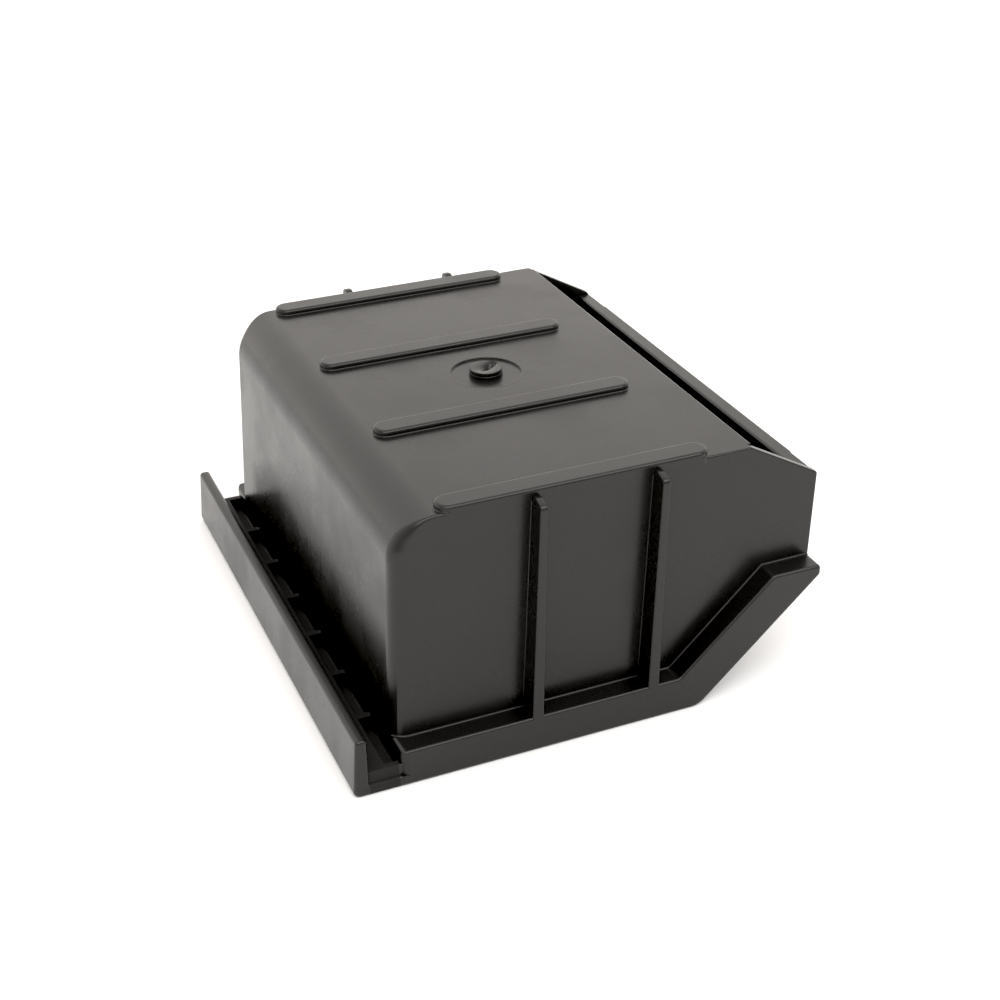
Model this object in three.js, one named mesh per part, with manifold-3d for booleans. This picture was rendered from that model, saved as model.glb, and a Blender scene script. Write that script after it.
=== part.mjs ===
// Open-front small-parts bin that stacks and hangs, standing upside down on its rim.
//
// +Z points up through the outside of the floor, +Y points to the hanging lip, and -Y points to
// the low hopper front. The bin is one thin-walled plastic moulding. It is modelled here as one
// solid, then divided on flat planes into the named walls, ledges, skirts and ribs that it has.
// Sizes are in millimetres.

import * as THREE from 'three';
import { mergeVertices } from 'three/addons/utils/BufferGeometryUtils.js';
import Module from 'manifold-3d';

// Overall sizes.
const HALF_WIDTH = 51;
const FLOOR_Z = 46.9;
const WALL = 1.7;

// The tub: straight walls up to the rim's height, then a moulding draft.
const TUB_HALF_WIDTH = 46.95;
const BACK_Y = 35.9;
const SIDE_DRAFT = 0.022;
const BACK_DRAFT = 0.045;
const TUB_CORNER_RADIUS = 3;
const BEND_Z = 38.9;
const FLOOR_FRONT_Y = -31.7;
const FLOOR_FRONT_RADIUS = 1.3;

// The hopper front: a low wall, a web that folds forwards, and an apron that carries the label.
const FRONT_Y = -43.15;
const CHEEK_TOP_Z = 39.4;
const CHEEK_WALL = 1.5;
const APRON_TOP_Z = 39.1;
const APRON_THICKNESS = 1.95;
const FRONT_WALL_FOOT_Y = -33.6;
const LABEL_HALF_WIDTH = 42.7;
const LABEL_Z = [24.6, APRON_TOP_Z];
const LABEL_STANDS_PROUD = 1.1;
const LABEL_FRAME = 2.4;
const LABEL_RECESS = 0.7;

// The rim: a ledge and a skirt, level at the sides, rising on a slope, then level at the front.
const RIM_TOP_Z = 6.8;
const RIM_FRONT_TOP_Z = 23.4;
const SLOPE_START_Y = -15.9;
const SLOPE_END_Y = FRONT_WALL_FOOT_Y;
const RIM_BOTTOM_SLOPE_START_Y = -20.05;
const RIM_BOTTOM_FRONT_Z = 21.5;
const SEAT_HALF_WIDTH = HALF_WIDTH - WALL;
const SEAT_Z = RIM_TOP_Z - WALL;

// The hanging channel behind the back wall.
const PLATE_TOP_Z = 2;
const CHANNEL_FLOOR_Z = 4.2;
const CURB_Y = 38.1;
const LIP_INNER_Y = 41.45;
const LIP_OUTER_Y = 44.25;
const LIP_LEAN = 0.77;
const LIP_TOP_Z = 11.2;
const CHANNEL_END_OUTER_X = 50.4;
const CHANNEL_END_INNER_X = 49;
const CROSS_RIB_X = [-35, -21, -7, 7, 21, 35];
const CROSS_RIB_THICKNESS = 1.3;

// The ribs under the floor and on the sides, and the moulding gate.
const FLOOR_RIB_TOP_Z = 48;
const FLOOR_RIB_HALF_WIDTH = 2.4;
const FLOOR_RIB_Y = [-22.65, 26.05];
const FLOOR_RIB_X = { outer_left: -43.6, inner_left: -15, inner_right: 15, outer_right: 43.6 };
const SIDE_RIB_FOOT_Y = { front: -10.75, rear: 11.15 };
const SIDE_RIB_LEAN = 1.7;
const SIDE_RIB_FOOT_HALF = 1.1;
const SIDE_RIB_HEAD_HALF = 0.7;
const SIDE_RIB_HEAD_X = 49.7;
const SIDE_RIB_HEAD_Z = 46.3;
const SIDE_RIB_TOP = { x: 46, z: 46.8 };
const SIDE_RIB_TOP_CROWN = 0.2;
const GATE_CENTRE = { x: 0.4, y: -1.3 };
const GATE_RING_RADIUS = 6.5;
const GATE_RECESS_Z = 46.6;
const GATE_NUB_RADIUS = 3;
const GATE_NUB_TOP_Z = 47.95;

// Planes on which the moulding is divided. INSIDE_X lies just inside the side walls.
const INSIDE_X = 44.2;
const BEND_RADIUS = FLOOR_Z - BEND_Z;
const BEND_Y = BACK_Y - BACK_DRAFT * (BEND_Z - RIM_TOP_Z) - BEND_RADIUS;

// How far a cutting solid reaches past the moulding.
const PAST = 6;
const ROUND_STEPS = 8;

// Coordinates are rounded to this binary fraction, so that planes that coincide do so exactly.
const GRID = 1 / 1024;

const plastic = { color: 0x161616, roughness: 0.42, metalness: 0 };

const wasm = await Module();
wasm.setup();

// A three.js geometry as a solid that can be joined and cut.
function solidFrom(geometry) {
  geometry.deleteAttribute('normal');
  geometry.deleteAttribute('uv');
  const merged = mergeVertices(geometry, 1e-3);
  return new wasm.Manifold(new wasm.Mesh({
    numProp: 3,
    vertProperties: merged.attributes.position.array.map((v) => Math.round(v / GRID) * GRID),
    triVerts: new Uint32Array(merged.index.array),
  }));
}

// A solid as a three.js geometry.
function geometryFrom(solid) {
  const mesh = solid.getMesh();
  const geometry = new THREE.BufferGeometry();
  geometry.setAttribute('position', new THREE.BufferAttribute(mesh.vertProperties, 3));
  geometry.setIndex(new THREE.BufferAttribute(mesh.triVerts, 1));
  geometry.computeVertexNormals();
  return geometry;
}

function box(low, high) {
  const size = low.map((value, axis) => high[axis] - value);
  const geometry = new THREE.BoxGeometry(...size);
  geometry.translate(...low.map((value, axis) => value + size[axis] / 2));
  return solidFrom(geometry);
}

function cylinder(radius, centre, lowZ, highZ) {
  const geometry = new THREE.CylinderGeometry(radius, radius, highZ - lowZ, 48);
  geometry.rotateX(Math.PI / 2);
  geometry.translate(centre.x, centre.y, (lowZ + highZ) / 2);
  return solidFrom(geometry);
}

// An outline in the (y, z) plane, extruded along X.
function prismAlongX(outline, lowX, highX) {
  const shape = new THREE.Shape(outline.map(([y, z]) => new THREE.Vector2(y, z)));
  const geometry = new THREE.ExtrudeGeometry(shape, { depth: highX - lowX, bevelEnabled: false });
  geometry.applyMatrix4(new THREE.Matrix4().makeBasis(
    new THREE.Vector3(0, 1, 0),
    new THREE.Vector3(0, 0, 1),
    new THREE.Vector3(1, 0, 0),
  ));
  geometry.translate(lowX, 0, 0);
  return solidFrom(geometry);
}

// An outline in the (x, z) plane, extruded along Y.
function prismAlongY(outline, lowY, highY) {
  const shape = new THREE.Shape(outline.map(([x, z]) => new THREE.Vector2(x, z)));
  const geometry = new THREE.ExtrudeGeometry(shape, { depth: highY - lowY, bevelEnabled: false });
  geometry.rotateX(Math.PI / 2);
  geometry.translate(0, highY, 0);
  return solidFrom(geometry);
}

// The points of an arc in the (y, z) plane. Angles are in degrees from +Y towards +Z.
function arc(centreY, centreZ, radius, fromDegrees, toDegrees) {
  return Array.from({ length: ROUND_STEPS + 1 }, (_, step) => {
    const angle = THREE.MathUtils.degToRad(
      THREE.MathUtils.lerp(fromDegrees, toDegrees, step / ROUND_STEPS),
    );
    return [centreY + radius * Math.cos(angle), centreZ + radius * Math.sin(angle)];
  });
}

// A block with the tub's plan, inset on three sides, with rounded back corners. Its walls stand
// straight up to the rim's height, and lean in above it by the moulding draft.
function draftedBlock(inset) {
  const halfWidth = TUB_HALF_WIDTH - inset;
  const backY = BACK_Y - inset;
  const radius = TUB_CORNER_RADIUS - inset;
  const frontY = FRONT_Y - PAST;
  const plan = new THREE.Shape();
  plan.moveTo(-halfWidth, frontY);
  plan.lineTo(halfWidth, frontY);
  plan.lineTo(halfWidth, backY - radius);
  plan.absarc(halfWidth - radius, backY - radius, radius, 0, Math.PI / 2);
  plan.lineTo(radius - halfWidth, backY);
  plan.absarc(radius - halfWidth, backY - radius, radius, Math.PI / 2, Math.PI);
  const extrude = (lowZ, highZ) => {
    const options = { depth: highZ - lowZ, bevelEnabled: false, curveSegments: 5 };
    return new THREE.ExtrudeGeometry(plan, options).translate(0, 0, lowZ);
  };
  const upper = extrude(RIM_TOP_Z, FLOOR_Z + PAST);
  const points = upper.attributes.position;
  for (let index = 0; index < points.count; index += 1) {
    const rise = points.getZ(index) - RIM_TOP_Z;
    const narrowing = (halfWidth - SIDE_DRAFT * rise) / halfWidth;
    points.setX(index, points.getX(index) * narrowing);
    points.setY(index, points.getY(index) - BACK_DRAFT * rise);
  }
  return solidFrom(extrude(-PAST, RIM_TOP_Z)).add(solidFrom(upper));
}

// The distance of the rim's sloping top from the origin, along the slope's normal.
const slopeRise = RIM_FRONT_TOP_Z - RIM_TOP_Z;
const slopeRun = SLOPE_START_Y - SLOPE_END_Y;
const slopeLength = Math.hypot(slopeRise, slopeRun);
const slopeNormal = { y: slopeRise / slopeLength, z: slopeRun / slopeLength };
const slopeDistance = slopeNormal.y * SLOPE_START_Y + slopeNormal.z * RIM_TOP_Z;

// The y at which the underside of the sloping ledge reaches a height.
function ledgeUndersideY(z) {
  return (slopeDistance - WALL - slopeNormal.z * z) / slopeNormal.y;
}

// The outside of the tub, seen from the side: back bend, floor, rounded front edge and cheek.
function tubOutside() {
  const outline = [
    [BACK_Y + PAST, -PAST],
    ...arc(BEND_Y, BEND_Z, BEND_RADIUS, 0, 90),
    ...arc(FLOOR_FRONT_Y + FLOOR_FRONT_RADIUS, FLOOR_Z - FLOOR_FRONT_RADIUS,
      FLOOR_FRONT_RADIUS, 90, 180),
    [FRONT_Y, CHEEK_TOP_Z],
    [FRONT_Y, -PAST],
  ];
  return draftedBlock(0).intersect(prismAlongX(outline, -HALF_WIDTH, HALF_WIDTH));
}

// A stretch of the rim, seen from the side: from its top down to its bottom edge.
function rimBand(lowX, highX) {
  const outline = [
    [BACK_Y, 0],
    [BACK_Y, RIM_TOP_Z],
    [SLOPE_START_Y, RIM_TOP_Z],
    [SLOPE_END_Y, RIM_FRONT_TOP_Z],
    [FRONT_Y, RIM_FRONT_TOP_Z],
    [FRONT_Y, RIM_BOTTOM_FRONT_Z],
    [RIM_BOTTOM_SLOPE_START_Y, 0],
  ];
  return prismAlongX(outline, lowX, highX);
}

// The space under the rim's ledge, which is where the next bin in a stack sits.
function underLedge() {
  const frontZ = RIM_FRONT_TOP_Z - WALL;
  const outline = [
    [BACK_Y + PAST, -PAST],
    [BACK_Y + PAST, SEAT_Z],
    [ledgeUndersideY(SEAT_Z), SEAT_Z],
    [ledgeUndersideY(frontZ), frontZ],
    [FRONT_Y - PAST, frontZ],
    [FRONT_Y - PAST, -PAST],
  ];
  return prismAlongX(outline, -HALF_WIDTH - PAST, HALF_WIDTH + PAST);
}

// The storage space.
function cavity() {
  const innerFootY = FRONT_WALL_FOOT_Y + WALL;
  const outline = [
    [BACK_Y + PAST, -PAST],
    ...arc(BEND_Y, BEND_Z, BEND_RADIUS - WALL, 0, 90),
    [FLOOR_FRONT_Y + WALL, FLOOR_Z - WALL],
    [innerFootY, RIM_FRONT_TOP_Z - WALL],
    [innerFootY, -PAST],
  ];
  return draftedBlock(WALL).intersect(prismAlongX(outline, -HALF_WIDTH, HALF_WIDTH));
}

// The slot between the low front wall and the apron, and the space above the apron.
function frontSlot() {
  const apronBackY = FRONT_Y + APRON_THICKNESS;
  const outline = [
    [FLOOR_FRONT_Y, FLOOR_Z - FLOOR_FRONT_RADIUS],
    [FRONT_WALL_FOOT_Y, RIM_FRONT_TOP_Z],
    [apronBackY, RIM_FRONT_TOP_Z],
    [apronBackY, APRON_TOP_Z],
    [FRONT_Y - PAST, APRON_TOP_Z],
    [FRONT_Y - PAST, FLOOR_Z + PAST],
    [FLOOR_FRONT_Y, FLOOR_Z + PAST],
  ];
  return draftedBlock(CHEEK_WALL).intersect(prismAlongX(outline, -HALF_WIDTH, HALF_WIDTH));
}

// A raised frame on the apron's face, with a recess for a card.
function labelHolder() {
  const faceY = FRONT_Y - LABEL_STANDS_PROUD;
  const [lowZ, highZ] = LABEL_Z;
  const block = box([-LABEL_HALF_WIDTH, faceY, lowZ], [LABEL_HALF_WIDTH, FRONT_Y, highZ]);
  const recess = box(
    [LABEL_FRAME - LABEL_HALF_WIDTH, faceY - PAST, lowZ + LABEL_FRAME],
    [LABEL_HALF_WIDTH - LABEL_FRAME, faceY + LABEL_RECESS, highZ - LABEL_FRAME],
  );
  return block.subtract(recess);
}

// A rib with round ends on the outside of the floor.
function floorRib(centreX) {
  const radius = FLOOR_RIB_HALF_WIDTH;
  const [lowY, highY] = FLOOR_RIB_Y;
  const plan = new THREE.Shape();
  plan.absarc(centreX, highY - radius, radius, 0, Math.PI);
  plan.absarc(centreX, lowY + radius, radius, Math.PI, 2 * Math.PI);
  const options = { depth: FLOOR_RIB_TOP_Z - FLOOR_Z, bevelEnabled: false };
  return solidFrom(new THREE.ExtrudeGeometry(plan, options).translate(0, 0, FLOOR_Z));
}

// A rib that stands up a side wall from the ledge, thinner at its head, with a crowned top. It
// leans a little to the front. Its root reaches half way into the wall.
function sideRib(side, footY) {
  const headY = footY - SIDE_RIB_LEAN;
  const topMiddleX = (SIDE_RIB_HEAD_X + SIDE_RIB_TOP.x) / 2;
  const topMiddleZ = (SIDE_RIB_HEAD_Z + SIDE_RIB_TOP.z) / 2 + SIDE_RIB_TOP_CROWN;
  const frontOutline = [
    [TUB_HALF_WIDTH - WALL / 2, RIM_TOP_Z],
    [HALF_WIDTH, RIM_TOP_Z],
    [SIDE_RIB_HEAD_X, SIDE_RIB_HEAD_Z],
    [topMiddleX, topMiddleZ],
    [SIDE_RIB_TOP.x, SIDE_RIB_TOP.z],
    [SIDE_RIB_TOP.x - WALL / 2, SIDE_RIB_TOP.z],
  ];
  const sideOutline = [
    [footY - SIDE_RIB_FOOT_HALF, RIM_TOP_Z - 1],
    [footY + SIDE_RIB_FOOT_HALF, RIM_TOP_Z - 1],
    [headY + SIDE_RIB_HEAD_HALF, FLOOR_RIB_TOP_Z],
    [headY - SIDE_RIB_HEAD_HALF, FLOOR_RIB_TOP_Z],
  ];
  const front = prismAlongY(
    frontOutline.map(([x, z]) => [side * x, z]),
    footY - PAST,
    footY + PAST,
  );
  return front.intersect(prismAlongX(sideOutline, -HALF_WIDTH - 1, HALF_WIDTH + 1));
}

const farFront = FRONT_Y - PAST;
const farBack = LIP_OUTER_Y + PAST;
const farTop = FLOOR_RIB_TOP_Z + PAST;
const farSide = HALF_WIDTH + PAST;
const sides = { left: -1, right: 1 };

// Every side rib, with the part of it that stands out of the tub and the part that is in it.
const sideRibs = Object.entries(sides).flatMap(([sideName, side]) => (
  Object.entries(SIDE_RIB_FOOT_Y).map(([place, y]) => {
    const rib = sideRib(side, y);
    const tubStretch = box([-TUB_HALF_WIDTH, farFront, 0], [TUB_HALF_WIDTH, farBack, FLOOR_Z]);
    return {
      name: `${sideName}_${place}_side_rib`,
      standing: rib.subtract(tubStretch),
      inTub: rib.intersect(tubStretch),
    };
  })
));

function joinAll(solids) {
  return solids.reduce((joined, solid) => joined.add(solid));
}

// The tub, as far out as the plane of its side walls.
function tub() {
  return joinAll([tubOutside(), rimBand(-TUB_HALF_WIDTH, TUB_HALF_WIDTH)])
    .subtract(cavity())
    .subtract(underLedge())
    .subtract(frontSlot())
    .subtract(cylinder(GATE_RING_RADIUS, GATE_CENTRE, GATE_RECESS_Z, farTop))
    .add(joinAll(sideRibs.map((rib) => rib.inTub)));
}

const bin = new THREE.Group();

function addNode(name, solid) {
  const mesh = new THREE.Mesh(geometryFrom(solid), new THREE.MeshStandardMaterial(plastic));
  mesh.name = name;
  bin.add(mesh);
}

// The tub's named stretches between its side walls. Each is what lies inside a box.
const tubSolid = tub();

function addTubRegion(name, low, high) {
  addNode(name, tubSolid.intersect(box(low, high)));
}

const frontWallTopY = FLOOR_FRONT_Y + WALL;
addTubRegion('floor_panel', [-INSIDE_X, frontWallTopY, BEND_Z], [INSIDE_X, BEND_Y, farTop]);
addTubRegion('back_bend', [-INSIDE_X, BEND_Y, BEND_Z], [INSIDE_X, farBack, farTop]);
addTubRegion('back_wall', [-INSIDE_X, 0, 0], [INSIDE_X, farBack, BEND_Z]);
addTubRegion(
  'front_wall',
  [-INSIDE_X, FRONT_WALL_FOOT_Y, RIM_FRONT_TOP_Z],
  [INSIDE_X, frontWallTopY, farTop],
);
addTubRegion('front_web', [-INSIDE_X, farFront, 0], [INSIDE_X, frontWallTopY, RIM_FRONT_TOP_Z]);
addTubRegion(
  'front_apron',
  [-INSIDE_X, farFront, RIM_FRONT_TOP_Z],
  [INSIDE_X, FRONT_WALL_FOOT_Y, farTop],
);
addNode('label_holder', labelHolder());

// The side walls, the cheeks that reach past the low front wall, and the rim.
const rimStretches = {
  level: [SLOPE_START_Y, farBack],
  slope: [SLOPE_END_Y, SLOPE_START_Y],
  front: [farFront, SLOPE_END_Y],
};
for (const [sideName, side] of Object.entries(sides)) {
  const between = (nearX, farX) => [side * nearX, side * farX].sort((a, b) => a - b);
  const [wallLowX, wallHighX] = between(INSIDE_X, farSide);
  addTubRegion(`${sideName}_wall`, [wallLowX, FLOOR_FRONT_Y, 0], [wallHighX, farBack, farTop]);
  addTubRegion(`${sideName}_cheek`, [wallLowX, farFront, 0], [wallHighX, FLOOR_FRONT_Y, farTop]);
  const ledge = rimBand(...between(TUB_HALF_WIDTH, SEAT_HALF_WIDTH)).subtract(underLedge());
  const skirt = rimBand(...between(SEAT_HALF_WIDTH, HALF_WIDTH));
  for (const [place, [lowY, highY]] of Object.entries(rimStretches)) {
    const stretch = box([-farSide, lowY, -PAST], [farSide, highY, farTop]);
    addNode(`${sideName}_${place}_ledge`, ledge.intersect(stretch));
    addNode(`${sideName}_${place}_skirt`, skirt.intersect(stretch));
  }
}
addNode('rear_rim', box([-SEAT_HALF_WIDTH, BACK_Y - WALL, 0], [SEAT_HALF_WIDTH, BACK_Y, SEAT_Z]));

// The ribs on the sides and under the floor.
for (const rib of sideRibs) {
  addNode(rib.name, rib.standing);
}
for (const [place, x] of Object.entries(FLOOR_RIB_X)) {
  addNode(`${place}_floor_rib`, floorRib(x));
}

// The hanging channel behind the back wall: plate, leaning lip, curb, end walls and cross ribs.
function addStanding(name, [lowX, lowY], [highX, highY]) {
  addNode(name, box([lowX, lowY, PLATE_TOP_Z], [highX, highY, CHANNEL_FLOOR_Z]));
}

addNode('hang_plate', box([-HALF_WIDTH, BACK_Y, 0], [HALF_WIDTH, LIP_INNER_Y, PLATE_TOP_Z]));
addNode('hang_lip', prismAlongX([
  [LIP_OUTER_Y, 0],
  [LIP_OUTER_Y - LIP_LEAN, LIP_TOP_Z],
  [LIP_INNER_Y, LIP_TOP_Z],
  [LIP_INNER_Y, 0],
], -HALF_WIDTH, HALF_WIDTH));
addStanding('hang_curb', [-CHANNEL_END_INNER_X, CURB_Y], [CHANNEL_END_INNER_X, LIP_INNER_Y]);
addStanding('left_channel_end', [-CHANNEL_END_OUTER_X, BACK_Y], [-CHANNEL_END_INNER_X, LIP_INNER_Y]);
addStanding('right_channel_end', [CHANNEL_END_INNER_X, BACK_Y], [CHANNEL_END_OUTER_X, LIP_INNER_Y]);
CROSS_RIB_X.forEach((x, index) => {
  const half = CROSS_RIB_THICKNESS / 2;
  addStanding(`cross_rib_${index + 1}`, [x - half, BACK_Y], [x + half, CURB_Y]);
});

// The stub that the moulding gate leaves, in its round recess.
addNode('gate_nub', cylinder(GATE_NUB_RADIUS, GATE_CENTRE, GATE_RECESS_Z, GATE_NUB_TOP_Z));

export default bin;
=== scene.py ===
import math

import bmesh
import bpy
import numpy as np
from mathutils import Matrix, Vector


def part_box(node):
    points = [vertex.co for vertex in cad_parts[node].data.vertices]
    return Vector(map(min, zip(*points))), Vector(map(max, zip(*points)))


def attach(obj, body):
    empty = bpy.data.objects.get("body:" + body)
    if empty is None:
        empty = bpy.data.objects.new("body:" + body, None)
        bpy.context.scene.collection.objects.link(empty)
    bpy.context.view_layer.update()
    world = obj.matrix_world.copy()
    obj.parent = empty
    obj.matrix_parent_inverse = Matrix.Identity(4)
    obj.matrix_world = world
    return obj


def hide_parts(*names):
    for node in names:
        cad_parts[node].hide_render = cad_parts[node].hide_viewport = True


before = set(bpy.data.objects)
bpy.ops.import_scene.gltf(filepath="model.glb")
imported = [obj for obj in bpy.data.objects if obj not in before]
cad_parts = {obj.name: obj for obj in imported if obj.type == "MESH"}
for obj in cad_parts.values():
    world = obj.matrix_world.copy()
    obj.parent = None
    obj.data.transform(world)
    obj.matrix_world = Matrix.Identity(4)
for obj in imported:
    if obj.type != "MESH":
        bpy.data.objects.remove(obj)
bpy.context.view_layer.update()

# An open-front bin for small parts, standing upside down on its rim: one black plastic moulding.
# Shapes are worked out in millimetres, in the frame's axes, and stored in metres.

MM = 0.001


def corners(node):
    """The lowest and highest corners of a CAD node, in millimetres."""
    low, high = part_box(node)
    return low / MM, high / MM


# Driving dimensions, read from the frame.
SKIRT_LOW, SKIRT_HIGH = corners("right_level_skirt")
SLOPE_LOW, _ = corners("right_slope_skirt")
FRONT_LOW, FRONT_HIGH = corners("right_front_skirt")
WALL_LOW, WALL_HIGH = corners("right_wall")
FLOOR_LOW, FLOOR_HIGH = corners("floor_panel")
BEND_LOW, _ = corners("back_bend")
_, APRON_HIGH = corners("front_apron")
LABEL_LOW, LABEL_HIGH = corners("label_holder")
LIP_LOW, LIP_HIGH = corners("hang_lip")
_, PLATE_HIGH = corners("hang_plate")
CURB_LOW, CURB_HIGH = corners("hang_curb")
CHANNEL_END_LOW, CHANNEL_END_HIGH = corners("right_channel_end")
NUB_LOW, NUB_HIGH = corners("gate_nub")

HALF_WIDTH = SKIRT_HIGH.x
SEAT_X = SKIRT_LOW.x
TUB_X = WALL_HIGH.x
BACK_Y = SKIRT_HIGH.y
RIM_TOP_Z = SKIRT_HIGH.z
SLOPE_START_Y = SKIRT_LOW.y
SLOPE_END_Y = SLOPE_LOW.y
FRONT_Y = FRONT_LOW.y
RIM_FRONT_TOP_Z = FRONT_HIGH.z
FLOOR_Z = FLOOR_HIGH.z
WALL = FLOOR_HIGH.z - FLOOR_LOW.z
BEND_Y = FLOOR_HIGH.y
BEND_Z = BEND_LOW.z
BEND_RADIUS = FLOOR_Z - BEND_Z
FLOOR_FRONT_Y = WALL_LOW.y
FRONT_FOOT_Y = SLOPE_END_Y
SEAT_Z = RIM_TOP_Z - WALL
GATE_CENTRE = (NUB_LOW + NUB_HIGH) / 2
RECESS_Z = NUB_LOW.z

# Shape that the frame's boxes don't tell.
SIDE_DRAFT = 0.022
TUB_CORNER = 3.0
FLOOR_EDGE = 0.5
CHEEK_EDGE = 0.3
CHEEK_TOP_Z = 39.4
CHEEK_WALL = 1.5
CHEEK_LEAN = 0.7
FLOOR_FRONT_ROUND = 0.5
FLOOR_SETBACK = 0.6
FLOOR_EDGE_Y = FLOOR_FRONT_Y + FLOOR_SETBACK
SLOT_EDGE = 0.5
LABEL_STEP = 0.03
RIM_BOTTOM_SLOPE_START_Y = -20.05
RIM_BOTTOM_FRONT_Z = 21.5
RIM_EDGE = 0.55
JUNCTION_FILLET = 0.3
LIP_LEAN = 0.77
RIB_HEAD_X = 49.7
RIB_HEAD_Z = 46.3
FAR_HEADS_RAISED = 1.1
RECESS_RADIUS = 6.5

# The radius of the flat cap that closes a turned solid near its axis.
CAP = 0.5

# How far a cutting solid reaches past the moulding.
BELOW = 8.0
BEYOND = 60.0


# ---------------------------------------------------------------- shapes

def arc(centre, radius, start, end, steps):
    """Points on an arc. Angles are in degrees."""
    angles = np.radians(np.linspace(start, end, steps + 1))
    return [(centre[0] + radius * math.cos(a), centre[1] + radius * math.sin(a)) for a in angles]


def rounded_outline(points, steps=6):
    """A closed outline of (a, b, radius) points, with each corner turned into an arc."""
    rounded = []
    for index, (a, b, radius) in enumerate(points):
        here = np.array((a, b))
        if radius == 0:
            rounded.append((a, b))
            continue
        before = np.array(points[index - 1][:2]) - here
        after = np.array(points[(index + 1) % len(points)][:2]) - here
        before = before / np.linalg.norm(before)
        after = after / np.linalg.norm(after)
        half = math.acos(np.clip(before @ after, -1, 1)) / 2
        middle = (before + after) / np.linalg.norm(before + after)
        centre = here + middle * radius / math.sin(half)
        first = here + before * radius / math.tan(half) - centre
        last = here + after * radius / math.tan(half) - centre
        start = math.degrees(math.atan2(first[1], first[0]))
        turn = math.degrees(math.atan2(last[1], last[0])) - start
        turn = (turn + 180) % 360 - 180
        rounded += arc(centre, radius, start, start + turn, steps)
    return rounded


def outward_normals(outline):
    """The outward mitre vector at each point of a closed outline."""
    points = np.array(outline)
    following = np.roll(points, -1, axis=0)
    area = np.sum(points[:, 0] * following[:, 1] - following[:, 0] * points[:, 1])
    edges = following - points
    edges = edges / np.linalg.norm(edges, axis=1)[:, None]
    normals = np.column_stack((edges[:, 1], -edges[:, 0])) * math.copysign(1, area)
    mitre = normals + np.roll(normals, 1, axis=0)
    return mitre / np.maximum(0.5 * np.sum(mitre * mitre, axis=1), 0.3)[:, None]


AXES = {"x": (1, 2, 0), "y": (0, 2, 1), "z": (0, 1, 2)}


def solid_from_rings(name, rings):
    """A closed mesh through rings of points in millimetres, each with the same number of points."""
    count = len(rings[0])
    vertices = [tuple(c * MM for c in point) for ring in rings for point in ring]
    faces = [tuple(range(count)), tuple(range(len(vertices) - count, len(vertices)))]
    for ring in range(len(rings) - 1):
        for index in range(count):
            following = (index + 1) % count
            low, high = ring * count, (ring + 1) * count
            faces.append((low + index, low + following, high + following, high + index))
    mesh = bpy.data.meshes.new(name)
    mesh.from_pydata(vertices, [], faces)
    work = bmesh.new()
    work.from_mesh(mesh)
    bmesh.ops.triangulate(work, faces=work.faces, ngon_method="EAR_CLIP")
    bmesh.ops.recalc_face_normals(work, faces=work.faces)
    work.to_mesh(mesh)
    work.free()
    piece = bpy.data.objects.new(name, mesh)
    bpy.context.scene.collection.objects.link(piece)
    return piece


def prism(name, outline, axis, low, high, low_round=0.0, high_round=0.0, reshape=None, steps=5):
    """An outline extruded along an axis, with rounded edges at its ends. The outline's points
    are in the other two axes, in the order x, y, z. A round is one radius or one for each point."""
    points = np.array(outline, float)
    normals = outward_normals(points)
    first, second, along = AXES[axis]
    rings = []
    for end, inwards, radii in ((low, 1, low_round), (high, -1, high_round)):
        radii = np.broadcast_to(np.array(radii, float), len(points))
        angles = np.linspace(0, math.pi / 2, steps + 1) if radii.max() > 0 else [math.pi / 2]
        end_rings = []
        for angle in angles:
            ring = np.zeros((len(points), 3))
            inset = points - normals * (radii * (1 - math.sin(angle)))[:, None]
            ring[:, first] = inset[:, 0]
            ring[:, second] = inset[:, 1]
            ring[:, along] = end + inwards * radii * (1 - math.cos(angle))
            end_rings.append(ring)
        rings += end_rings if inwards > 0 else end_rings[::-1]
    if reshape:
        rings = [reshape(ring) for ring in rings]
    return solid_from_rings(name, rings)


def cut_or_join(target, tool, operation):
    """Boolean of one closed piece with another, which is used up."""
    modifier = target.modifiers.new("boolean", "BOOLEAN")
    modifier.operation = operation
    modifier.object = tool
    modifier.solver = "MANIFOLD"
    evaluated = target.evaluated_get(bpy.context.evaluated_depsgraph_get())
    mesh = bpy.data.meshes.new_from_object(evaluated)
    target.modifiers.remove(modifier)
    target.data = mesh
    bpy.data.objects.remove(tool)
    return target


def add(target, *tools):
    for tool in tools:
        cut_or_join(target, tool, "UNION")
    return target


def subtract(target, *tools):
    for tool in tools:
        cut_or_join(target, tool, "DIFFERENCE")
    return target


def sweep(name, section, stations):
    """A closed section carried through stations of (point, u, v), with the section in u and v."""
    rings = [[point + u * a + v * b for a, b in section] for point, u, v in stations]
    return solid_from_rings(name, rings)


def revolve(name, profile, centre, steps=72):
    """A solid of revolution about a vertical axis, from (radius, z) points off the axis."""
    angles = np.linspace(0, 2 * math.pi, steps, endpoint=False)
    rings = [
        [(centre[0] + r * math.cos(a), centre[1] + r * math.sin(a), z) for a in angles]
        for r, z in profile
    ]
    return solid_from_rings(name, rings)


SMOOTH_ANGLE = math.radians(32)


def finish_surface(piece):
    """Smooth shading with creases at sharp edges, and flat faces that stay flat."""
    work = bmesh.new()
    work.from_mesh(piece.data)
    bmesh.ops.remove_doubles(work, verts=work.verts, dist=2e-6)
    bmesh.ops.dissolve_degenerate(work, edges=work.edges, dist=1e-6)
    for face in work.faces:
        face.smooth = True
    for edge in work.edges:
        edge.smooth = len(edge.link_faces) == 2 and edge.calc_face_angle(0) < SMOOTH_ANGLE
    work.to_mesh(piece.data)
    work.free()
    weighted = piece.modifiers.new("weighted", "WEIGHTED_NORMAL")
    weighted.keep_sharp = True
    weighted.weight = 100
    return piece


# ---------------------------------------------------------------- the shell

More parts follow.
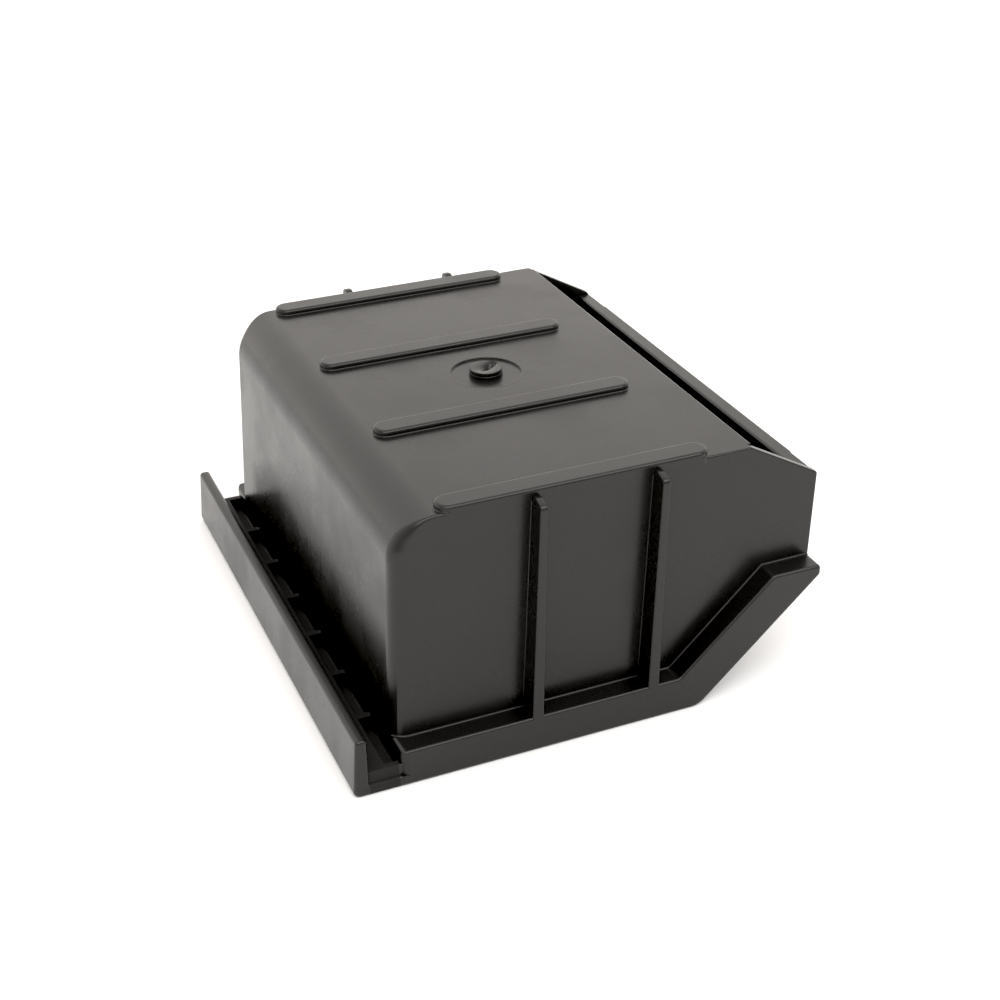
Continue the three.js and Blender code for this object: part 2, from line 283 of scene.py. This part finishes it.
def smoothstep(t):
    t = min(max(t, 0.0), 1.0)
    return t * t * (3 - 2 * t)


def tub_width_factor(z):
    return 1 - SIDE_DRAFT * (z - RIM_TOP_Z) / TUB_X


def draft_sides(ring):
    """Leans the side walls in by the moulding draft."""
    ring = ring.copy()
    ring[:, 0] *= tub_width_factor(ring[:, 2])
    return ring


def tub_block():
    """The outside of the tub, solid, with its edges rounded. The corner round of the back wall
    tightens along the bend to the small round of the floor's edge."""
    run_in = 3
    fade = 8
    tighten_from = 0.3
    tighten_over = 0.6
    chamfer_slope = (CHEEK_TOP_Z - (FLOOR_Z - FLOOR_FRONT_ROUND)) / (FRONT_Y - FLOOR_EDGE_Y)
    chamfer_top_y = FLOOR_EDGE_Y + FLOOR_FRONT_ROUND / chamfer_slope
    bend_steps = 32
    outline = [(BACK_Y, -BELOW), (BACK_Y, RIM_TOP_Z)]
    radii = [TUB_CORNER, TUB_CORNER]
    for step, point in enumerate(arc((BEND_Y, BEND_Z), BEND_RADIUS, 0, 90, bend_steps)):
        outline.append(point)
        tightened = smoothstep((step / bend_steps - tighten_from) / tighten_over)
        radii.append(TUB_CORNER + (FLOOR_EDGE - TUB_CORNER) * tightened)
    for y in np.linspace(BEND_Y, chamfer_top_y + run_in, 12)[1:]:
        outline.append((y, FLOOR_Z))
        behind_cheek = smoothstep((y - chamfer_top_y - run_in) / fade)
        radii.append(CHEEK_EDGE + (FLOOR_EDGE - CHEEK_EDGE) * behind_cheek)
    front = rounded_outline([
        (chamfer_top_y + run_in, FLOOR_Z, 0),
        (chamfer_top_y, FLOOR_Z, 1.5),
        (FRONT_Y - CHEEK_LEAN, CHEEK_TOP_Z, 0.7),
        (FRONT_Y, RIM_FRONT_TOP_Z, 0),
        (FRONT_Y, -BELOW, 0),
    ])[1:]
    outline += front
    radii += [CHEEK_EDGE] * len(front)
    return prism("bin_shell", outline, "x", -TUB_X, TUB_X, radii, radii, draft_sides, steps=7)


def slope_normal():
    rise = RIM_FRONT_TOP_Z - RIM_TOP_Z
    run = SLOPE_START_Y - SLOPE_END_Y
    return Vector((0, rise, run)).normalized()


def ledge_underside_y(z):
    """The y at which the underside of the sloping ledge reaches a height."""
    normal = slope_normal()
    distance = normal.y * SLOPE_START_Y + normal.z * RIM_TOP_Z - WALL
    return (distance - normal.z * z) / normal.y


def rim_band(side):
    """One side's rim, solid, with its outer edge rounded."""
    outline = rounded_outline([
        (BACK_Y, 0, 0.7),
        (BACK_Y, RIM_TOP_Z, 1.2),
        (SLOPE_START_Y, RIM_TOP_Z, 1.5),
        (SLOPE_END_Y, RIM_FRONT_TOP_Z, 1.2),
        (FRONT_Y, RIM_FRONT_TOP_Z, 0.7),
        (FRONT_Y, RIM_BOTTOM_FRONT_Z, 0.9),
        (RIM_BOTTOM_SLOPE_START_Y, 0, 4.0),
    ])
    radii = [RIM_EDGE] * len(outline)
    inner_x = TUB_X - TUB_CORNER
    if side > 0:
        return prism("rim", outline, "x", inner_x, HALF_WIDTH, 0, radii)
    return prism("rim", outline, "x", -HALF_WIDTH, -inner_x, radii, 0)


def seat_space():
    """The space under the rim's ledge, and all that lies below the rear rim."""
    front_z = RIM_FRONT_TOP_Z - WALL
    outline = [
        (BEYOND, -2 * BELOW),
        (BEYOND, 0),
        (BACK_Y - WALL, 0),
        (BACK_Y - WALL, SEAT_Z),
        (ledge_underside_y(SEAT_Z), SEAT_Z),
        (ledge_underside_y(front_z), front_z),
        (-BEYOND, front_z),
        (-BEYOND, -2 * BELOW),
    ]
    return prism("seat", outline, "x", -SEAT_X, SEAT_X)


def storage_space():
    """The inside of the tub, with rounded inner edges."""
    foot_y = FRONT_FOOT_Y + WALL
    outline = [(BACK_Y - WALL, -3 * BELOW), (BACK_Y - WALL, RIM_TOP_Z)]
    outline += arc((BEND_Y, BEND_Z), BEND_RADIUS - WALL, 0, 90, 24)
    outline += rounded_outline([
        (BEND_Y - 1, FLOOR_LOW.z, 0),
        (FLOOR_FRONT_Y + WALL, FLOOR_LOW.z, 2),
        (foot_y, RIM_FRONT_TOP_Z - WALL, 0),
        (foot_y, -3 * BELOW, 0),
    ])
    inner_x = TUB_X - WALL
    inner_edge = 1.2
    return prism("storage", outline, "x", -inner_x, inner_x, inner_edge, inner_edge, draft_sides)


def front_slot():
    """The slot behind the apron, and the space above the apron."""
    apron_back_y = APRON_HIGH.y
    top_z = APRON_HIGH.z - LABEL_STEP
    outline = [(FRONT_FOOT_Y, RIM_FRONT_TOP_Z), (FLOOR_EDGE_Y, FLOOR_Z - FLOOR_FRONT_ROUND)]
    outline += [(FLOOR_EDGE_Y, FLOOR_Z + BELOW), (-BEYOND, FLOOR_Z + BELOW), (-BEYOND, top_z)]
    outline += arc((apron_back_y - SLOT_EDGE, top_z - SLOT_EDGE), SLOT_EDGE, 90, 0, 4)
    outline += [(apron_back_y, RIM_FRONT_TOP_Z)]
    inner_x = TUB_X - CHEEK_WALL
    return prism("slot", outline, "x", -inner_x, inner_x, reshape=draft_sides)


def fillet_section(radius, buried, steps):
    """The section of a small concave fillet in a corner, with its back sunk into the walls."""
    section = [(-buried, -buried), (radius, -buried)]
    section += arc((radius, radius), radius, 270, 180, steps)
    return section + [(-buried, radius)]


def junction_fillet(side):
    """The small concave fillet where the wall meets the ledge, round the rear corner too."""
    section = fillet_section(JUNCTION_FILLET, buried=0.4, steps=4)
    start_angle = 58
    up = Vector((0, 0, 1))
    stations = []
    middle = Vector((side * (TUB_X - TUB_CORNER), BACK_Y - TUB_CORNER, RIM_TOP_Z))
    for angle in np.radians(np.linspace(start_angle, 0, 7)):
        outwards = Vector((side * math.cos(angle), math.sin(angle), 0))
        stations.append((middle + outwards * TUB_CORNER, outwards, up))
    outwards = Vector((side, 0, 0))
    slope = slope_normal()
    for y, z, normals in (
        (SLOPE_START_Y, RIM_TOP_Z, (up, slope)),
        (SLOPE_END_Y, RIM_FRONT_TOP_Z, (slope, up)),
        (FRONT_Y + 0.2, RIM_FRONT_TOP_Z, (up, up)),
    ):
        mitre = normals[0] + normals[1]
        mitre = mitre / (0.5 * mitre.length_squared)
        x = side * TUB_X * tub_width_factor(z)
        stations.append((Vector((x, y, z)), outwards, mitre))
    return sweep("junction", section, stations)


def hanging_lip_and_plate():
    """The plate behind the back wall and the leaning lip on its edge, in one section."""
    end_round = 0.6
    outline = rounded_outline([
        (LIP_HIGH.y, 0, 1.1),
        (LIP_HIGH.y - LIP_LEAN, LIP_HIGH.z, 0.7),
        (LIP_LOW.y, LIP_HIGH.z, 0.7),
        (LIP_LOW.y, PLATE_HIGH.z, 0.3),
        (BACK_Y - 1, PLATE_HIGH.z, 0),
        (BACK_Y - 1, 0, 0),
    ])
    return prism("lip", outline, "x", -HALF_WIDTH, HALF_WIDTH, end_round, end_round)


def channel_comb():
    """The curb along the lip, the end walls, and the cross ribs that divide the pockets."""
    buried = 0.6
    top_round = 0.22
    buried_y = BACK_Y - buried
    lip_y = LIP_LOW.y + buried
    end_out, end_in = CHANNEL_END_HIGH.x, CHANNEL_END_LOW.x
    outline = [(end_in, CURB_LOW.y), (end_in, buried_y), (end_out, buried_y)]
    outline += [(end_out, lip_y), (-end_out, lip_y), (-end_out, buried_y)]
    outline += [(-end_in, buried_y), (-end_in, CURB_LOW.y)]
    for index in range(1, 7):
        low, high = corners(f"cross_rib_{index}")
        outline += [(low.x, CURB_LOW.y), (low.x, buried_y), (high.x, buried_y), (high.x, CURB_LOW.y)]
    return prism("comb", outline, "z", PLATE_HIGH.z - 0.5, CURB_HIGH.z, 0, top_round)


def gate_recess():
    """The shallow round recess about the gate, with a rounded rim."""
    inner = 0.12
    rim = 0.15
    proud = 0.04
    rim_x = RECESS_RADIUS + rim
    above = FLOOR_Z + 4
    profile = [(CAP, RECESS_Z), (RECESS_RADIUS - inner, RECESS_Z)]
    profile += arc((RECESS_RADIUS - inner, RECESS_Z + inner), inner, 300, 350, 3)
    profile += arc((rim_x, FLOOR_Z + proud - rim), rim, 180, 95, 4)
    profile += [(rim_x + 0.1, FLOOR_Z + 0.1), (RECESS_RADIUS + 1, above), (CAP, above)]
    return revolve("recess", profile, GATE_CENTRE)


def gate_recess_rim():
    """The low raised rim about the recess, a disc that the recess then hollows out."""
    height = 0.05
    foot_radius = RECESS_RADIUS + 0.65
    top_radius = RECESS_RADIUS + 0.4
    profile = [(CAP, FLOOR_Z - 1), (foot_radius, FLOOR_Z - 1), (foot_radius, FLOOR_Z)]
    profile += [(top_radius, FLOOR_Z + height), (CAP, FLOOR_Z + height)]
    return revolve("recess_rim", profile, GATE_CENTRE)


def floor_front_edge():
    """The floor's rounded front edge between the cheeks, which the cheeks' slope would cut off."""
    start_y = FLOOR_EDGE_Y + 5
    foot_z = FLOOR_Z - 1.2
    outline = [(start_y, foot_z), (start_y, FLOOR_Z)]
    outline += arc((FLOOR_EDGE_Y + SLOT_EDGE, FLOOR_Z - SLOT_EDGE), SLOT_EDGE, 90, 180, 8)
    outline += [(FLOOR_EDGE_Y + 0.4, foot_z)]
    inner_x = TUB_X - CHEEK_WALL
    return prism("front_edge", outline, "x", -inner_x, inner_x, reshape=draft_sides)


def rear_corner_trim(side):
    """What the rim's rounded rear corner leaves out, above the plate."""
    radius = 1.7
    middle = (HALF_WIDTH - radius, BACK_Y - radius)
    outline = [(side * x, y) for x, y in arc(middle, radius, 90, 0, 8)]
    outline += [(side * (HALF_WIDTH + 1), middle[1]), (side * (HALF_WIDTH + 1), BACK_Y + 1)]
    outline += [(side * middle[0], BACK_Y + 1)]
    return prism("trim", outline, "z", PLATE_HIGH.z, RIM_TOP_Z + 1)


def bin_shell():
    shell = tub_block()
    for side in (-1, 1):
        add(shell, subtract(rim_band(side), rear_corner_trim(side)), junction_fillet(side))
    add(shell, hanging_lip_and_plate(), channel_comb())
    subtract(shell, seat_space(), storage_space(), front_slot())
    return subtract(add(shell, floor_front_edge(), gate_recess_rim()), gate_recess())


# ---------------------------------------------------------------- ribs, label holder and gate

def floor_rib(name):
    """A rib with round ends, a fillet at its root and rounded edges on top. The outer ribs stand
    a hair proud of the side wall and end on it."""
    low, high = corners(name)
    radius = 2.35
    root = 0.25
    edge = 0.6
    proud = 0.12
    side = math.copysign(1, low.x)
    outer = name.startswith("outer")
    wall_x = TUB_X * tub_width_factor(FLOOR_Z)
    middle_x = side * (wall_x + proud - radius) if outer else (low.x + high.x) / 2
    foot_z = FLOOR_Z - 1.0 if outer else FLOOR_Z - 0.4
    outline = np.array(
        arc((middle_x, high.y - radius), radius, 0, 180, 24)
        + arc((middle_x, low.y + radius), radius, 180, 360, 24)
    )
    normals = outward_normals(outline)
    profile = [(root, foot_z)]
    profile += arc((root, FLOOR_Z + root), root, 270, 180, 5)
    profile += arc((-edge, high.z - edge), edge, 0, 90, 5)
    rings = []
    for grow, z in profile:
        ring = outline + normals * grow
        if outer:
            reach = abs(middle_x) + radius
            ring[:, 0] = side * np.minimum(side * ring[:, 0], reach)
        rings.append([(x, y, z) for x, y in ring])
    return solid_from_rings(name + "_skin", rings)


def side_rib(name):
    """A rib up the side wall, thinner at its head, with a crowned top. It leans a little to the
    front. On the far side its head stands higher than on the near side."""
    low, high = corners(name)
    side = math.copysign(1, low.x)
    foot_half = 1.1
    head_half = 0.7
    edge = 0.4
    foot_y = high.y - foot_half
    head_y = low.y + head_half
    raised = FAR_HEADS_RAISED if side > 0 else 0.0
    foot_x = HALF_WIDTH - 0.03
    crown_x, crown_z = 47.6, 46.85
    buried_x, buried_z, lowest_z = 45.2, 46.8, 42
    sunk_x, sunk_z = TUB_X - 0.9, RIM_TOP_Z - 1
    outline = rounded_outline([
        (side * sunk_x, sunk_z, 0),
        (side * foot_x, sunk_z, 0),
        (side * foot_x, RIM_TOP_Z, 0),
        (side * RIB_HEAD_X, RIB_HEAD_Z + raised, 1.0),
        (side * crown_x, crown_z + raised, 2.0),
        (side * buried_x, buried_z, 0),
        (side * buried_x, lowest_z, 0),
    ])

    def middle_and_half(z):
        share = (z - RIM_TOP_Z) / (RIB_HEAD_Z - RIM_TOP_Z)
        return foot_y + (head_y - foot_y) * share, foot_half + (head_half - foot_half) * share

    def lean(ring):
        ring = ring.copy()
        middle, half = middle_and_half(ring[:, 2])
        ring[:, 1] = middle + ring[:, 1] * half / foot_half
        return ring

    rib = prism(name + "_skin", outline, "y", -foot_half, foot_half, edge, edge, lean)
    for face in (-1, 1):
        stations = []
        for z in (RIM_TOP_Z - 0.5, FLOOR_Z + 0.2):
            middle, half = middle_and_half(z)
            point = Vector((side * TUB_X * tub_width_factor(z), middle + face * half, z))
            stations.append((point, Vector((0, face, 0)), Vector((side, 0, 0))))
        section = fillet_section(radius=0.12, buried=0.3, steps=6)
        add(rib, sweep("root", section, stations))
    return rib


def upright_rectangle(half_width, low_z, high_z, radius):
    """A rectangle in x and z, with rounded corners."""
    return rounded_outline([
        (half_width, high_z, radius),
        (-half_width, high_z, radius),
        (-half_width, low_z, radius),
        (half_width, low_z, radius),
    ], steps=4)


def label_holder():
    """The raised frame on the apron, a little lower at its ends, with a recess for a card."""
    step_x = 37.2
    step = 0.2
    frame_width = 2.4
    recess_depth = 0.7
    round_edge = 0.35
    inner_y = APRON_HIGH.y - SLOT_EDGE

    def block(half_width, face_y):
        outline = upright_rectangle(half_width, LABEL_LOW.z, LABEL_HIGH.z, radius=0.4)
        return prism("label_holder_skin", outline, "y", face_y, inner_y, round_edge, 0)

    holder = add(block(LABEL_HIGH.x, LABEL_LOW.y + step), block(step_x, LABEL_LOW.y))
    low_z, high_z = LABEL_LOW.z + frame_width, LABEL_HIGH.z - frame_width
    recess = upright_rectangle(step_x - frame_width, low_z, high_z, radius=0.3)
    recess_y = LABEL_LOW.y + recess_depth
    return subtract(holder, prism("card", recess, "y", LABEL_LOW.y - BELOW, recess_y))


def gate_nub():
    """The stub left where the plastic was broken off at the gate: a short post with a collar and
    a torn top. A pit is (x, y, length, width, depth), and the tear gives its direction."""
    radius = 3.0
    collar = radius + 0.13
    bevel = 0.05
    edge = 0.15
    top = NUB_HIGH.z
    collar_z = RECESS_Z + 0.45 * (top - RECESS_Z)
    profile = [(collar, RECESS_Z - 0.3), (collar, collar_z - bevel)]
    profile += [(collar - bevel, collar_z), (radius, collar_z)]
    profile += arc((radius - edge, top - edge), edge, 0, 90, 3)
    profile += [(share * (radius - edge), top) for share in np.linspace(0.93, 0.03, 16)]
    nub = revolve("gate_nub_skin", profile, GATE_CENTRE)
    torn_slot = (0.6, -0.8, 1.5, 0.6, 1.0)
    pinhole = (-0.5, 0.15, 0.3, 0.3, 0.8)
    dish = (-0.1, 0.1, 2.2, 1.4, 0.3)
    tear = Vector((0.5, -0.87))
    for vertex in nub.data.vertices:
        x, y, z = vertex.co / MM - Vector((GATE_CENTRE.x, GATE_CENTRE.y, 0))
        if z < top - 0.01:
            continue
        for pit_x, pit_y, length, width, depth in (torn_slot, pinhole, dish):
            offset = Vector((x - pit_x, y - pit_y))
            along = offset.dot(tear) / length
            across = offset.dot(tear.orthogonal()) / width
            vertex.co.z -= MM * depth * math.exp(-along * along - across * across)
    return nub


# ---------------------------------------------------------------- materials

def node(tree, kind, **values):
    made = tree.nodes.new(kind)
    for name, value in values.items():
        if name in made.inputs:
            made.inputs[name].default_value = value
        else:
            setattr(made, name, value)
    return made


def noise(tree, place, scale, detail=2.0, stretch=(1, 1, 1)):
    """A noise in the bin's own axes, with a scale per metre along each."""
    stretched = node(tree, "ShaderNodeMapping")
    stretched.inputs["Scale"].default_value = stretch
    tree.links.new(place, stretched.inputs["Vector"])
    made = node(tree, "ShaderNodeTexNoise", Scale=scale, Detail=detail, Roughness=0.55)
    tree.links.new(stretched.outputs["Vector"], made.inputs["Vector"])
    return made.outputs["Fac"]


def ramp(tree, value, low, high, start, end):
    """A value that goes smoothly from start to end while the input goes from low to high."""
    ramped = node(tree, "ShaderNodeMapRange", interpolation_type="SMOOTHSTEP")
    for name, number in zip(("From Min", "From Max", "To Min", "To Max"), (low, high, start, end)):
        ramped.inputs[name].default_value = number
    tree.links.new(value, ramped.inputs["Value"])
    return ramped.outputs["Result"]


def bump(tree, height, distance, strength, below=None):
    """A bump from a height, laid over another."""
    made = node(tree, "ShaderNodeBump", Distance=distance, Strength=strength)
    tree.links.new(height, made.inputs["Height"])
    if below:
        tree.links.new(below, made.inputs["Normal"])
    return made.outputs["Normal"]


def in_channel(tree, place):
    """1 in the hanging channel, below the top of its cross ribs, and 0 elsewhere."""
    axes = node(tree, "ShaderNodeSeparateXYZ")
    tree.links.new(place, axes.inputs["Vector"])
    inside = ramp(tree, axes.outputs["Z"], (CURB_HIGH.z + 0.1) * MM, (CURB_HIGH.z + 0.3) * MM, 1, 0)
    for low, high, start, end in (
        (BACK_Y + 0.1, BACK_Y + 0.3, 0, 1),
        (LIP_LOW.y - 0.1, LIP_LOW.y + 0.1, 1, 0),
    ):
        both = node(tree, "ShaderNodeMath", operation="MULTIPLY")
        tree.links.new(inside, both.inputs[0])
        edge = ramp(tree, axes.outputs["Y"], low * MM, high * MM, start, end)
        tree.links.new(edge, both.inputs[1])
        inside = both.outputs["Value"]
    return inside


def black_plastic():
    """Carbon-filled moulded plastic: near-black and satin, with a fine grain, slightly uneven
    faces, dull rubbed patches and short light scuffs. It is duller in the hanging channel."""
    scuff_dulls = 0.08
    channel_dulls = 0.5
    material = bpy.data.materials.new("black_plastic")
    material.use_nodes = True
    tree = material.node_tree
    link = tree.links.new
    shader = tree.nodes["Principled BSDF"]
    shader.inputs["IOR"].default_value = 1.46
    place = node(tree, "ShaderNodeTexCoord").outputs["Object"]

    patches = noise(tree, place, scale=70.0, detail=4.0)
    streaks = noise(tree, place, scale=260.0, detail=3.0, stretch=(1, 6, 3))
    scuffs = ramp(tree, streaks, 0.66, 0.8, 0.0, 1.0)
    colour = node(tree, "ShaderNodeValToRGB")
    clean, scuffed = colour.color_ramp.elements
    clean.color = (0.0115, 0.0112, 0.0108, 1)
    scuffed.color = (0.022, 0.021, 0.02, 1)
    link(scuffs, colour.inputs["Fac"])
    link(colour.outputs["Color"], shader.inputs["Base Color"])

    rubbed = ramp(tree, patches, 0.35, 0.7, 0.23, 0.33)
    roughness = node(tree, "ShaderNodeMath", operation="MULTIPLY_ADD")
    link(scuffs, roughness.inputs[0])
    roughness.inputs[1].default_value = scuff_dulls
    link(rubbed, roughness.inputs[2])
    dulled = node(tree, "ShaderNodeMath", operation="MULTIPLY_ADD")
    link(in_channel(tree, place), dulled.inputs[0])
    dulled.inputs[1].default_value = channel_dulls
    link(roughness.outputs["Value"], dulled.inputs[2])
    link(dulled.outputs["Value"], shader.inputs["Roughness"])

    uneven = bump(tree, noise(tree, place, scale=45.0), distance=0.001, strength=0.03)
    grain = bump(tree, noise(tree, place, scale=3800.0), 0.0001, 0.06, below=uneven)
    link(grain, shader.inputs["Normal"])
    return material


# ---------------------------------------------------------------- the picture

def camera():
    """Looks down at the bin from behind its left rear corner."""
    azimuth, elevation, roll = (math.radians(v) for v in (247.175, 28.974, -0.630))
    place = Vector((-255.91, 104.03, 173.31)) * MM
    back = Vector((
        math.sin(azimuth) * math.cos(elevation),
        -math.cos(azimuth) * math.cos(elevation),
        math.sin(elevation),
    ))
    right = Vector((0, 0, 1)).cross(back).normalized()
    up = back.cross(right)
    turned_right = right * math.cos(roll) + up * math.sin(roll)
    turned_up = up * math.cos(roll) - right * math.sin(roll)
    lens = bpy.data.cameras.new("camera")
    lens.sensor_width = 36
    lens.lens = 59.2
    lens.clip_start = 0.01
    made = bpy.data.objects.new("camera", lens)
    bpy.context.scene.collection.objects.link(made)
    turn = Matrix((turned_right, turned_up, back)).transposed().to_4x4()
    made.matrix_world = Matrix.Translation(place) @ turn
    bpy.context.scene.camera = made


def light_panel(name, direction, distance, size, radiance):
    """A soft white panel that faces the bin, of a given brightness."""
    light = bpy.data.lights.new(name, "AREA")
    light.shape = "RECTANGLE"
    light.size, light.size_y = size
    light.energy = 4 * size[0] * size[1] * radiance
    made = bpy.data.objects.new(name, light)
    bpy.context.scene.collection.objects.link(made)
    outwards = Vector(direction).normalized()
    made.location = outwards * distance
    made.rotation_euler = outwards.to_track_quat("Z", "Y").to_euler()


def room():
    """A white room that is bright beyond the bin, most of all low down, and dim behind the
    camera."""
    world = bpy.data.worlds.new("room")
    world.use_nodes = True
    tree = world.node_tree
    background = tree.nodes["Background"]
    place = node(tree, "ShaderNodeTexCoord")
    axes = node(tree, "ShaderNodeSeparateXYZ")
    tree.links.new(place.outputs["Generated"], axes.inputs["Vector"])
    beyond = ramp(tree, axes.outputs["X"], -0.5, 0.5, 0.43, 1.0)
    height = ramp(tree, axes.outputs["Z"], 0.0, 0.5, 1.75, 1.55)
    strength = node(tree, "ShaderNodeMath", operation="MULTIPLY")
    tree.links.new(beyond, strength.inputs[0])
    tree.links.new(height, strength.inputs[1])
    tree.links.new(strength.outputs["Value"], background.inputs["Strength"])
    background.inputs["Color"].default_value = (1, 0.96, 0.92, 1)
    bpy.context.scene.world = world


def studio():
    """A white table in the white room, with a soft panel overhead that draws bright lines along
    the bin's edges. The film crushes the deepest blacks."""
    room()
    light_panel("overhead", (-0.55, 0.0, 0.83), distance=0.8, size=(1.2, 0.45), radiance=2.6)
    film = bpy.context.scene.view_settings
    film.view_transform = "Standard"
    film.use_curve_mapping = True
    film.curve_mapping.black_level = [0.0125] * 3
    film.curve_mapping.update()
    bpy.ops.mesh.primitive_plane_add(size=3, location=(0, 0, 0))
    table = bpy.context.object
    table.name = "table"
    paper = bpy.data.materials.new("paper")
    paper.use_nodes = True
    shader = paper.node_tree.nodes["Principled BSDF"]
    shader.inputs["Base Color"].default_value = (0.96, 0.96, 0.96, 1)
    shader.inputs["Roughness"].default_value = 0.9
    table.data.materials.append(paper)


# ---------------------------------------------------------------- putting it together

def place_piece(piece, material, *nodes):
    finish_surface(piece)
    piece.data.materials.clear()
    piece.data.materials.append(material)
    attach(piece, "root")
    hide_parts(*nodes)


def build():
    plastic = black_plastic()
    own_skins = {}
    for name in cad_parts:
        if name.endswith("floor_rib"):
            own_skins[name] = floor_rib(name)
        elif name.endswith("side_rib"):
            own_skins[name] = side_rib(name)
    own_skins["label_holder"] = label_holder()
    own_skins["gate_nub"] = gate_nub()
    for name, piece in own_skins.items():
        place_piece(piece, plastic, name)
    place_piece(bin_shell(), plastic, *sorted(set(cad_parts) - set(own_skins)))


camera()
studio()
build()
